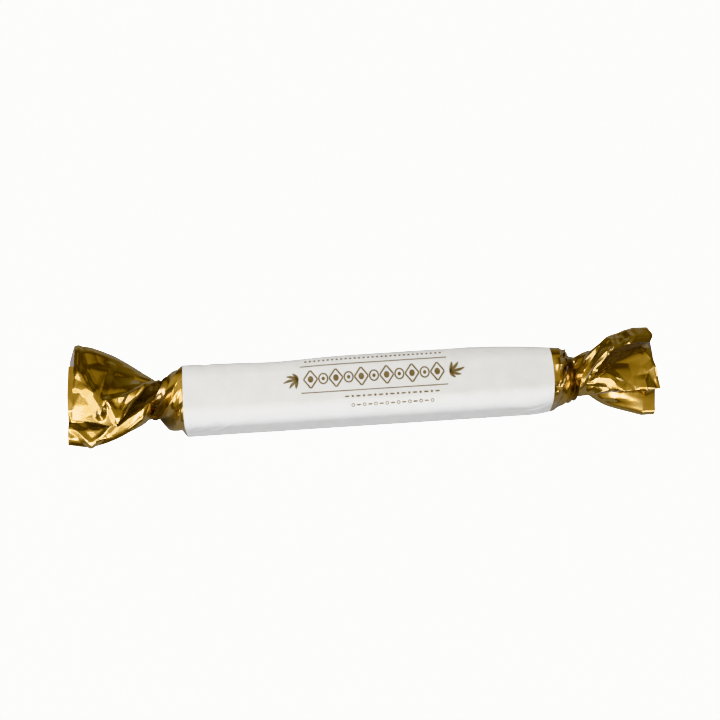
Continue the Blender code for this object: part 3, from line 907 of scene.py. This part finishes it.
RIGHT_CREASES = [
    Facets(RIGHT_FACETS),
    Crease([(4.0, 4.5), (1.6, 9.0), (0.0, 12.0), (-0.3, 17.5)], -0.9, 2.4),
    Crease([(6.2, 17.2), (7.0, 15.9), (8.6, 14.9), (10.4, 15.0)], 0.45, 1.5),
    Crease([(18.2, -13.2), (18.4, -10.5), (19.0, -7.5)], 0.32, 1.7),
    Crease([(22.6, -12.8), (21.8, -10.0), (20.4, -8.2)], -0.25, 1.1),
    Crease([(15.2, -9.6), (18.6, -8.8), (22.0, -8.2), (25.0, -8.6)], -0.3, 0.9),
    Crease([(5.2, 4.4), (7.0, 8.2), (9.0, 9.8), (10.4, 11.0)], 0.4, 1.8),
    Crease([(36.8, 13.0), (38.4, 13.4), (40.0, 12.8)], 0.3, 0.9),
    Crease([(36.8, 11.4), (38.0, 11.0), (39.6, 11.2)], -0.25, 0.8),
    Crease([(36.8, 9.0), (38.4, 9.2), (39.8, 8.6)], 0.25, 0.8),
]
RIGHT_CREASES += random_creases(
    np.random.default_rng(8), count=8, low=(18.0, 1.0), high=(44.0, 15.0), lengths=(2.0, 6.0),
    heights=(0.05, 0.12), widths=(0.5, 1.4), heading=0.2, spread=0.8)
RIGHT_PULLS = [
    Pull((1.5, 6.0), (2.6, 3.5), (0.0, 0.0, -1.1)),
    Pull((1.5, 11.0), (2.6, 3.5), (0.0, 0.0, -1.1)),
]
print("Right tail:", len(RIGHT_FACETS), "corners of facets and", len(RIGHT_CREASES) - 1, "creases")

# %% Make the two gold ends
COLLAR_ROWS = 9
COLLAR_SHARES = np.linspace(0.0, 1.0, COLLAR_ROWS)[:-1]
GOLD_AND_GREY = [GOLD_FOIL, GREY_PAPER]


def bar_rows(start, end, shares, turns):
    """Rings of the sheet on the bar, from one slanting edge to another."""
    return np.array([bar_point(mix(start, end, share), turns) for share in shares])


no_collar = np.zeros((0, COLUMNS, 3))
right_collar = bar_rows(field_edge(SHEET_TURNS), end_positions(RIGHT, bar_section(SHEET_TURNS)),
                        COLLAR_SHARES, SHEET_TURNS)
left_foil = make_sheet(
    "left_foil", *gold_end(LEFT, LEFT_CREASES, LEFT_PULLS, no_collar), GOLD_AND_GREY)
right_foil = make_sheet(
    "right_foil", *gold_end(RIGHT, RIGHT_CREASES, RIGHT_PULLS, right_collar), GOLD_AND_GREY)

# %% [markdown]
# ## The white field
#
# The middle of the same sheet is printed white over the foil. It lies tight on the nougat, so it has
# only shallow wrinkles: a small fan of them at a corner of each end, where the twist pulls on the
# sheet, a few soft dents, and faint ones all over. A bump texture would do for the faint ones, but
# real ridges also show at the bar's long edges, where the light grazes them. Its columns are fewer
# than those of the gold ends, since its wrinkles are wider.

# %% The white field
FIELD_ROWS = 240
FIELD_COLUMNS = 200
FIELD_TURNS = np.linspace(0.0, 1.0 + OVERLAP_TURNS, FIELD_COLUMNS)
LEFT_FADE = -32.0, -31.4
RIGHT_FADE = 33.4, 32.6

FIELD_CREASES = [
    Crease([(12.5, -28.2), (15.5, -27.6)], -0.18, 1.0, soft=True),
    Crease([(14.5, -24.6), (17.0, -23.6)], -0.12, 1.4, soft=True),
    Crease([(29.5, -31.4), (27.0, -30.2)], 0.10, 0.5),
    Crease([(30.0, -31.4), (28.8, -28.8)], 0.12, 0.5),
    Crease([(29.0, -31.4), (25.5, -31.0)], 0.08, 0.5),
    Crease([(30.5, -27.0), (27.2, -24.0)], 0.12, 0.6),
    Crease([(24.5, 26.5), (26.5, 30.0)], -0.10, 1.0, soft=True),
    Crease([(27.0, 25.5), (28.2, 29.5)], 0.08, 0.9, soft=True),
    Crease([(30.2, 29.5), (29.2, 31.6), (28.2, 33.0)], 0.18, 0.8),
]
FIELD_CREASES += random_creases(
    np.random.default_rng(3), count=34, low=(0.0, -32.0), high=(GIRTH, 33.0), lengths=(1.5, 6.0),
    heights=(0.02, 0.06), widths=(0.5, 1.4), heading=0.4, spread=1.2)


def make_white_field():
    start = end_positions(LEFT, bar_section(FIELD_TURNS))
    grid = bar_rows(start, field_edge(FIELD_TURNS), np.linspace(0.0, 1.0, FIELD_ROWS), FIELD_TURNS)
    x = grid[..., 0]
    flat = np.stack([np.broadcast_to(FIELD_TURNS * GIRTH, x.shape), x], axis=-1)
    fade = smooth_step(*LEFT_FADE, x) * smooth_step(*RIGHT_FADE, x)
    grid, crest = creased(grid, flat, FIELD_CREASES, fade)
    return make_sheet("white_field", grid, flat, crest, [WHITE_PRINT, GREY_PAPER])


white_field = make_white_field()

# %% [markdown]
# ## The printed ornament
#
# The label is a plain ornament: a band of lozenges and roundels between thin rules, with rows of
# beads and a fan of leaves at each end, in a brown-gold ink that goes with the foil. Ink lies flat on
# the sheet, so the design is laid out flat first, with X along the bar and Y round it, and bent onto
# the bar afterwards. A picture texture would be the usual way, but a mesh has sharp edges at any zoom.
#
# Rows that repeat are made by Geometry Nodes. The tree lays points along a line and puts one motif
# on the even points and another on the odd ones, so the count and the spacing stay easy to change.

# %% A ribbon of ink
INK_TOP = 0.015
INK_BOTTOM = -0.02


def ribbon(points, widths, closed):
    """A flat closed solid that follows (x, y) points, as wide at each as its width says."""
    points, widths = np.array(points, float), np.array(widths, float)
    if closed:
        along = np.roll(points, -1, axis=0) - np.roll(points, 1, axis=0)
    else:
        along = np.gradient(points, axis=0)
    along /= np.linalg.norm(along, axis=1, keepdims=True)
    aside = np.stack([-along[:, 1], along[:, 0]], axis=1) * widths[:, None] / 2
    count = len(points)
    vertices = [(*point, height) for height in (INK_BOTTOM, INK_TOP) for side in (1, -1)
                for point in points + side * aside]
    low_left, low_right, high_left, high_right = (np.arange(count) + k * count for k in range(4))
    sides = ((high_left, high_right), (low_right, low_left),
             (low_left, high_left), (high_right, low_right))
    faces = []
    for k in range(count if closed else count - 1):
        after = (k + 1) % count
        faces += [(a[k], b[k], b[after], a[after]) for a, b in sides]
    if not closed:
        faces.append((low_left[0], low_right[0], high_right[0], high_left[0]))
        faces.append((low_left[-1], high_left[-1], high_right[-1], low_right[-1]))
    return vertices, faces


# %% Motifs made of ribbons
def motif(name, shapes):
    """A hidden object holding one or more ribbons in mm."""
    mesh_edit = bmesh.new()
    for vertices, faces in shapes:
        made = [mesh_edit.verts.new(v) for v in vertices]
        for face in faces:
            mesh_edit.faces.new([made[int(k)] for k in face])
    bmesh.ops.recalc_face_normals(mesh_edit, faces=mesh_edit.faces)
    mesh = bpy.data.meshes.new(name)
    mesh_edit.to_mesh(mesh)
    mesh_edit.free()
    return bpy.data.objects.new(name, mesh)


def ring(radius_x, radius_y, width, count=24):
    turn = np.linspace(0.0, 2 * math.pi, count, endpoint=False)
    points = np.stack([radius_x * np.cos(turn), radius_y * np.sin(turn)], axis=1)
    return ribbon(points, [width] * count, closed=True)


NEARLY_WHOLE = 0.999
LOZENGE_SHARES = 0.08, 0.5, 0.92


def dot(radius_x, radius_y, count=16):
    """A filled oval: a ribbon that follows its middle line and is as wide as the oval."""
    share = np.linspace(-NEARLY_WHOLE, NEARLY_WHOLE, count)
    line = np.stack([radius_x * share, 0 * share], axis=1)
    return ribbon(line, 2 * radius_y * np.sqrt(1 - share**2), closed=False)


def lozenge(half_x, half_y, width):
    """A diamond whose corners are cut off a little, so that the ribbon turns them evenly."""
    corners = np.array([(half_x, 0), (0, half_y), (-half_x, 0), (0, -half_y)], float)
    sides = zip(corners, np.roll(corners, -1, axis=0))
    points = [mix(start, end, share) for start, end in sides for share in LOZENGE_SHARES]
    return ribbon(points, [width] * len(points), closed=True)


LEAF_BEND = 0.35
LEAF_POINTS = 14
LEAF_TIP_WIDTH = 0.03
LEAF_ROUNDNESS = 0.8


def leaf(root, heading, length, fullness):
    """A pointed leaf from its root, bending a little."""
    share = np.linspace(0.02, 0.98, LEAF_POINTS)
    turned = heading + LEAF_BEND * share
    headings = np.stack([np.cos(turned), np.sin(turned)], axis=1)
    points = np.array(root) + headings * (length * share)[:, None]
    widths = fullness * np.sin(math.pi * share) ** LEAF_ROUNDNESS + LEAF_TIP_WIDTH
    return ribbon(points, widths, closed=False)


big_lozenge = motif("big lozenge", [lozenge(1.25, 1.75, 0.26), dot(0.5, 0.62)])
big_roundel = motif("big roundel", [ring(0.78, 0.95, 0.24), dot(0.3, 0.34)])
small_bead = motif("small bead", [dot(0.2, 0.2)])
small_dash = motif("small dash", [dot(0.42, 0.13)])
small_ring = motif("small ring", [ring(0.26, 0.26, 0.12, 16)])
for made in (big_lozenge, big_roundel, small_bead, small_dash, small_ring):
    print("Motif:", made.name, [round(side, 2) for side in made.dimensions[:2]], "mm")

# %% [markdown]
# The ink is a dull brown with a little metal powder in it, which gives it its gold cast. It is printed
# thinly, so it lets the blotches of the paper through more finely than the white does.

# %% Brown ink
INK_BROWN = (0.16, 0.118, 0.058), (0.22, 0.17, 0.09)
BROWN_INK = matt_material("brown ink", INK_BROWN, 0.45, 1.2, 0.15, 0.15, 0.01)
BROWN_INK.node_tree.nodes["Principled BSDF"].inputs["Metallic"].default_value = 0.3
print("Material:", BROWN_INK.name)

# %% [markdown]
# The node tree is built from code. Its inputs are named, so a row is one modifier with its own
# values. The last nodes make the instances real and give them the ink, because the row is turned
# into a plain mesh and bent afterwards.

# %% Rows by Geometry Nodes
def ornament_row_tree():
    tree = bpy.data.node_groups.new("ornament row", "GeometryNodeTree")
    group_socket(tree, "First Motif", "NodeSocketObject", "INPUT")
    group_socket(tree, "Second Motif", "NodeSocketObject", "INPUT")
    group_socket(tree, "Count", "NodeSocketInt", "INPUT", 10)
    group_socket(tree, "Spacing", "NodeSocketFloat", "INPUT", 1.0)
    group_socket(tree, "Start", "NodeSocketVector", "INPUT")
    group_socket(tree, "Ink", "NodeSocketMaterial", "INPUT")
    group_socket(tree, "Geometry", "NodeSocketGeometry", "OUTPUT")
    given = new_node(tree, "NodeGroupInput")
    result = new_node(tree, "NodeGroupOutput")
    line = new_node(tree, "GeometryNodeMeshLine", mode="OFFSET")
    step = new_node(tree, "ShaderNodeCombineXYZ")
    tree.links.new(given.outputs["Count"], line.inputs["Count"])
    tree.links.new(given.outputs["Start"], line.inputs["Start Location"])
    tree.links.new(given.outputs["Spacing"], step.inputs["X"])
    tree.links.new(step.outputs[0], line.inputs["Offset"])
    index = new_node(tree, "GeometryNodeInputIndex")
    odd = new_node(tree, "ShaderNodeMath", operation="MODULO")
    odd.inputs[1].default_value = 2.0
    tree.links.new(index.outputs[0], odd.inputs[0])
    even = new_node(tree, "ShaderNodeMath", operation="SUBTRACT")
    even.inputs[0].default_value = 1.0
    tree.links.new(odd.outputs[0], even.inputs[1])
    join = new_node(tree, "GeometryNodeJoinGeometry")
    for socket, chosen in (("First Motif", even), ("Second Motif", odd)):
        source = new_node(tree, "GeometryNodeObjectInfo")
        put = new_node(tree, "GeometryNodeInstanceOnPoints")
        tree.links.new(given.outputs[socket], source.inputs["Object"])
        tree.links.new(line.outputs["Mesh"], put.inputs["Points"])
        tree.links.new(chosen.outputs[0], put.inputs["Selection"])
        tree.links.new(source.outputs["Geometry"], put.inputs["Instance"])
        tree.links.new(put.outputs["Instances"], join.inputs[0])
    real = new_node(tree, "GeometryNodeRealizeInstances")
    inked = new_node(tree, "GeometryNodeSetMaterial")
    tree.links.new(join.outputs[0], real.inputs[0])
    tree.links.new(real.outputs[0], inked.inputs["Geometry"])
    tree.links.new(given.outputs["Ink"], inked.inputs["Material"])
    tree.links.new(inked.outputs[0], result.inputs[0])
    return tree


ORNAMENT_ROW = ornament_row_tree()
ROW_SOCKETS = {item.name: item.identifier
               for item in ORNAMENT_ROW.interface.items_tree if item.in_out == "INPUT"}
print("Inputs of a row:", ", ".join(ROW_SOCKETS))


def ornament_row(first, second, count, spacing, start):
    """The flat mesh of one row, in mm."""
    host = bpy.data.objects.new("row", bpy.data.meshes.new("row"))
    bpy.context.scene.collection.objects.link(host)
    modifier = host.modifiers.new("row", "NODES")
    modifier.node_group = ORNAMENT_ROW
    values = {"First Motif": first, "Second Motif": second, "Count": count, "Spacing": spacing,
              "Start": (*start, 0.0), "Ink": BROWN_INK}
    for name, value in values.items():
        modifier[ROW_SOCKETS[name]] = value
    evaluated = host.evaluated_get(bpy.context.evaluated_depsgraph_get())
    mesh = bpy.data.meshes.new_from_object(evaluated)
    bpy.data.objects.remove(host)
    return mesh


# %% [markdown]
# The layout is counted in mm along the bar from its middle and round it from the middle of the top,
# positive towards the far side. Long rules are cut into short pieces, so that they can follow the
# bar's shallow dent.

# %% Lay the ornament out
LABEL_MIDDLE_X = 2.0
RULE_STEP = 0.5
RULE_WIDTH = 0.16
RULE_HALF_LENGTH = 13.0
RULES_AT = 3.45, -1.6
BAND_AT = 0.9
FAN_FROM_MIDDLE = 13.4
LEAF_FULLNESS = 0.5
FAN = (-1.25, 1.7), (-0.7, 2.3), (-0.17, 2.8), (0.4, 2.3), (0.95, 1.7)


def rule(start_x, end_x, at):
    places = np.linspace(start_x, end_x, int((end_x - start_x) / RULE_STEP) + 2)
    return ribbon([(x, at) for x in places], [RULE_WIDTH] * len(places), closed=False)


def leaf_fan(x, at, facing):
    """Five leaves that open away from the band. Each is known by its (lean, length)."""
    turned = 0.0 if facing > 0 else math.pi
    return [leaf((x, at), turned + lean, length, LEAF_FULLNESS) for lean, length in FAN]


def label_meshes():
    x = LABEL_MIDDLE_X
    rows = [
        ornament_row(big_lozenge, big_roundel, 11, 2.25, (x - 11.25, BAND_AT)),
        ornament_row(small_bead, small_bead, 31, 0.8, (x - 12.0, 4.6)),
        ornament_row(small_dash, small_bead, 17, 1.0, (x - 5.0, -2.7)),
        ornament_row(small_ring, small_dash, 15, 1.0, (x - 4.0, -4.3)),
    ]
    flat = [rule(x - RULE_HALF_LENGTH, x + RULE_HALF_LENGTH, at) for at in RULES_AT]
    for facing in (1, -1):
        flat += leaf_fan(x + facing * FAN_FROM_MIDDLE, BAND_AT, facing)
    trimmings = motif("trimmings", flat)
    trimmings.data.materials.append(BROWN_INK)
    return rows + [trimmings.data]


# %% [markdown]
# To bend the flat design onto the bar, each point's Y becomes a place round the section, and its
# height is laid off along the sheet's own outward normal there. A Curve or Shrinkwrap modifier could
# do it too, but the formula of the bar is already at hand and keeps true lengths round the corners.

# %% Bend the design onto the bar
TOP_TURNS = 0.5
SMALL_STEP = 1e-3


def bend_onto_bar(flat):
    """Carry flat (along, round, height) places in mm onto the wrapped bar."""
    turns = TOP_TURNS - flat[:, 1] / GIRTH
    here = bar_point(flat[:, 0], turns)
    across = bar_point(flat[:, 0], turns + SMALL_STEP) - here
    along = bar_point(flat[:, 0] + SMALL_STEP, turns) - here
    normals = np.cross(across, along)
    normals /= np.linalg.norm(normals, axis=1, keepdims=True)
    return here + normals * flat[:, 2:]


def make_ornament():
    mesh_edit = bmesh.new()
    for mesh in label_meshes():
        mesh_edit.from_mesh(mesh)
    mesh = bpy.data.meshes.new("printed_ornament")
    mesh_edit.to_mesh(mesh)
    mesh_edit.free()
    flat = np.zeros(len(mesh.vertices) * 3)
    mesh.vertices.foreach_get("co", flat)
    mesh.vertices.foreach_set("co", (bend_onto_bar(flat.reshape(-1, 3)) * MM).ravel())
    mesh.update()
    mesh.materials.clear()
    mesh.materials.append(BROWN_INK)
    turn_outwards(mesh)
    piece = bpy.data.objects.new("printed_ornament", mesh)
    bpy.context.scene.collection.objects.link(piece)
    print("printed_ornament", len(mesh.polygons), "faces")
    return piece


printed_ornament = make_ornament()

# %% Ride and replace
for piece in (left_foil, right_foil, white_field, printed_ornament):
    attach(piece, "root")
    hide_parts("wrapper")

# %% [markdown]
# ## Camera
#
# The bar is looked at steeply from above and a little from the left, through a long lens, which
# flattens perspective as a product photograph does. The angles and the scale were found by laying
# the model's outline over the real one.

# %% Camera
MM_A_PIXEL = 0.18
PIXELS = 720
LENS, SENSOR = 85.0, 36.0
AZIMUTH, ELEVATION = math.radians(-3.83), math.radians(72.0)
CENTRE_PIXEL = 363.0, 390.0
NEAREST_SEEN = 0.01


def make_camera():
    aim = Vector((0.0, 0.0, MID_HEIGHT * MM))
    level = Vector((math.sin(AZIMUTH), -math.cos(AZIMUTH), 0.0))
    towards = level * math.cos(ELEVATION) + Vector((0.0, 0.0, math.sin(ELEVATION)))
    right = Vector((math.cos(AZIMUTH), math.sin(AZIMUTH), 0.0))
    up = towards.cross(right)
    pixel = MM_A_PIXEL * MM
    distance = pixel * PIXELS / 2 * LENS / (SENSOR / 2)
    data = bpy.data.cameras.new("camera")
    data.lens = LENS
    data.clip_start = NEAREST_SEEN
    camera = bpy.data.objects.new("camera", data)
    bpy.context.scene.collection.objects.link(camera)
    aside = right * (PIXELS / 2 - CENTRE_PIXEL[0]) + up * (CENTRE_PIXEL[1] - PIXELS / 2)
    placed_at = Matrix((right, up, towards)).transposed().to_4x4()
    placed_at.translation = aim + towards * distance + aside * pixel
    camera.matrix_world = placed_at
    bpy.context.scene.camera = camera
    print("Camera at", [round(value, 3) for value in placed_at.translation], "m")


make_camera()

# %% [markdown]
# ## Floor
#
# The ground is plain and almost white. A white floor under a mirror-like object would shine into all
# its undersides, so the floor here is a middling grey that glows for the camera only: a Light Path
# node switches the glow on for rays that come straight from the camera.

# %% Floor
FLOOR_HALF_SIZE = 3.0
FLOOR_GREY = 0.25, 0.25, 0.25, 1.0
FLOOR_GLOW = 3.2


def make_floor():
    mesh = bpy.data.meshes.new("floor")
    signs = (-1, -1), (1, -1), (1, 1), (-1, 1)
    corners = [(x * FLOOR_HALF_SIZE, y * FLOOR_HALF_SIZE, 0.0) for x, y in signs]
    mesh.from_pydata(corners, [], [(0, 1, 2, 3)])
    material = bpy.data.materials.new("floor white")
    material.use_nodes = True
    tree = material.node_tree
    shader = tree.nodes["Principled BSDF"]
    shader.inputs["Base Color"].default_value = FLOOR_GREY
    shader.inputs["Roughness"].default_value = 0.9
    shader.inputs["Emission Color"].default_value = (1.0, 1.0, 1.0, 1.0)
    ray = new_node(tree, "ShaderNodeLightPath")
    glow = new_node(tree, "ShaderNodeMath", operation="MULTIPLY")
    glow.inputs[1].default_value = FLOOR_GLOW
    tree.links.new(ray.outputs["Is Camera Ray"], glow.inputs[0])
    tree.links.new(glow.outputs[0], shader.inputs["Emission Strength"])
    mesh.materials.append(material)
    floor = bpy.data.objects.new("floor", mesh)
    bpy.context.scene.collection.objects.link(floor)


make_floor()

# %% [markdown]
# ## Light
#
# Foil is a mirror, so it looks like the room round it. The room here is a world whose colour depends
# only on how near a direction lies to the middle of one big panel. Next to the panel it is cream,
# then gold, at sixty to seventy degrees from it nearly black, and farther round a dim gold. A few
# degrees of lean carry a facet from one to the next, and that makes the hard patches. A photographed
# studio would give more detail, but this ramp can be fitted to the tones of single facets.
#
# Two low lamps, in front and behind, brighten the long edges of the white print. The foil would show
# them as pale rims, so they are hidden from mirrored rays.

# %% The room that the foil mirrors
PANEL_PLACE = (-0.204, -0.061, 0.451)
ROOM = (
    (0.0, (0.20, 0.155, 0.06)),
    (0.10, (0.16, 0.125, 0.05)),
    (0.30, (0.11, 0.08, 0.028)),
    (0.37, (0.045, 0.020, 0.002)),
    (0.50, (0.060, 0.029, 0.003)),
    (0.56, (0.28, 0.205, 0.062)),
    (0.72, (0.44, 0.34, 0.12)),
    (0.86, (0.55, 0.44, 0.20)),
    (0.94, (0.72, 0.62, 0.38)),
    (0.98, (1.0, 1.0, 0.98)),
)


def make_world():
    """A dim, warm tent that is brightest round its one big panel."""
    world = bpy.data.worlds.new("studio")
    bpy.context.scene.world = world
    world.use_nodes = True
    tree = world.node_tree
    place = new_node(tree, "ShaderNodeTexCoord")
    nearness = new_node(tree, "ShaderNodeVectorMath", operation="DOT_PRODUCT")
    nearness.inputs[1].default_value = Vector(PANEL_PLACE).normalized()
    ramp = new_node(tree, "ShaderNodeValToRGB")
    tree.links.new(place.outputs["Generated"], nearness.inputs[0])
    tree.links.new(nearness.outputs["Value"], ramp.inputs["Fac"])
    tree.links.new(ramp.outputs["Color"], tree.nodes["Background"].inputs["Color"])
    stops = ramp.color_ramp.elements
    stops[0].position, stops[1].position = ROOM[0][0], ROOM[-1][0]
    for place_in_ramp, _ in ROOM[1:-1]:
        stops.new(place_in_ramp)
    for stop, (_, colour) in zip(stops, ROOM):
        stop.color = (*colour, 1.0)


make_world()
print("Room colours:", len(ROOM))

# %% Lamps
WHITE = 1.0, 1.0, 1.0
COOL_WHITE = 0.97, 0.985, 1.02
LAMPS = (
    # name, place in m, size in m, power in W, colour, shown in the foil
    ("panel", PANEL_PLACE, (0.17, 0.17), 1.35, COOL_WHITE, True),
    ("left", (-0.45, 0.05, 0.24), (0.12, 0.4), 0.45, WHITE, True),
    ("right", (0.48, 0.0, 0.24), (0.12, 0.4), 0.5, WHITE, True),
    ("front", (0.04, -0.42, 0.36), (0.3, 0.22), 1.0, COOL_WHITE, True),
    ("low front", (0.0, -0.60, 0.10), (0.9, 0.16), 2.2, WHITE, False),
    ("back", (0.0, 0.60, 0.10), (0.9, 0.16), 2.4, WHITE, False),
)


def soft_lamp(name, place, size, power, colour, mirrored):
    """A rectangle of light that faces the middle of the floor."""
    data = bpy.data.lights.new(name, "AREA")
    data.shape = "RECTANGLE"
    data.size, data.size_y = size
    data.energy = power
    data.color = colour
    lamp = bpy.data.objects.new(name, data)
    lamp.location = place
    lamp.rotation_euler = Vector(place).to_track_quat("Z", "Y").to_euler()
    lamp.visible_glossy = mirrored
    bpy.context.scene.collection.objects.link(lamp)


for lamp_values in LAMPS:
    soft_lamp(*lamp_values)
bpy.context.scene.view_settings.view_transform = "Khronos PBR Neutral"
print("Lamps:", ", ".join(values[0] for values in LAMPS))
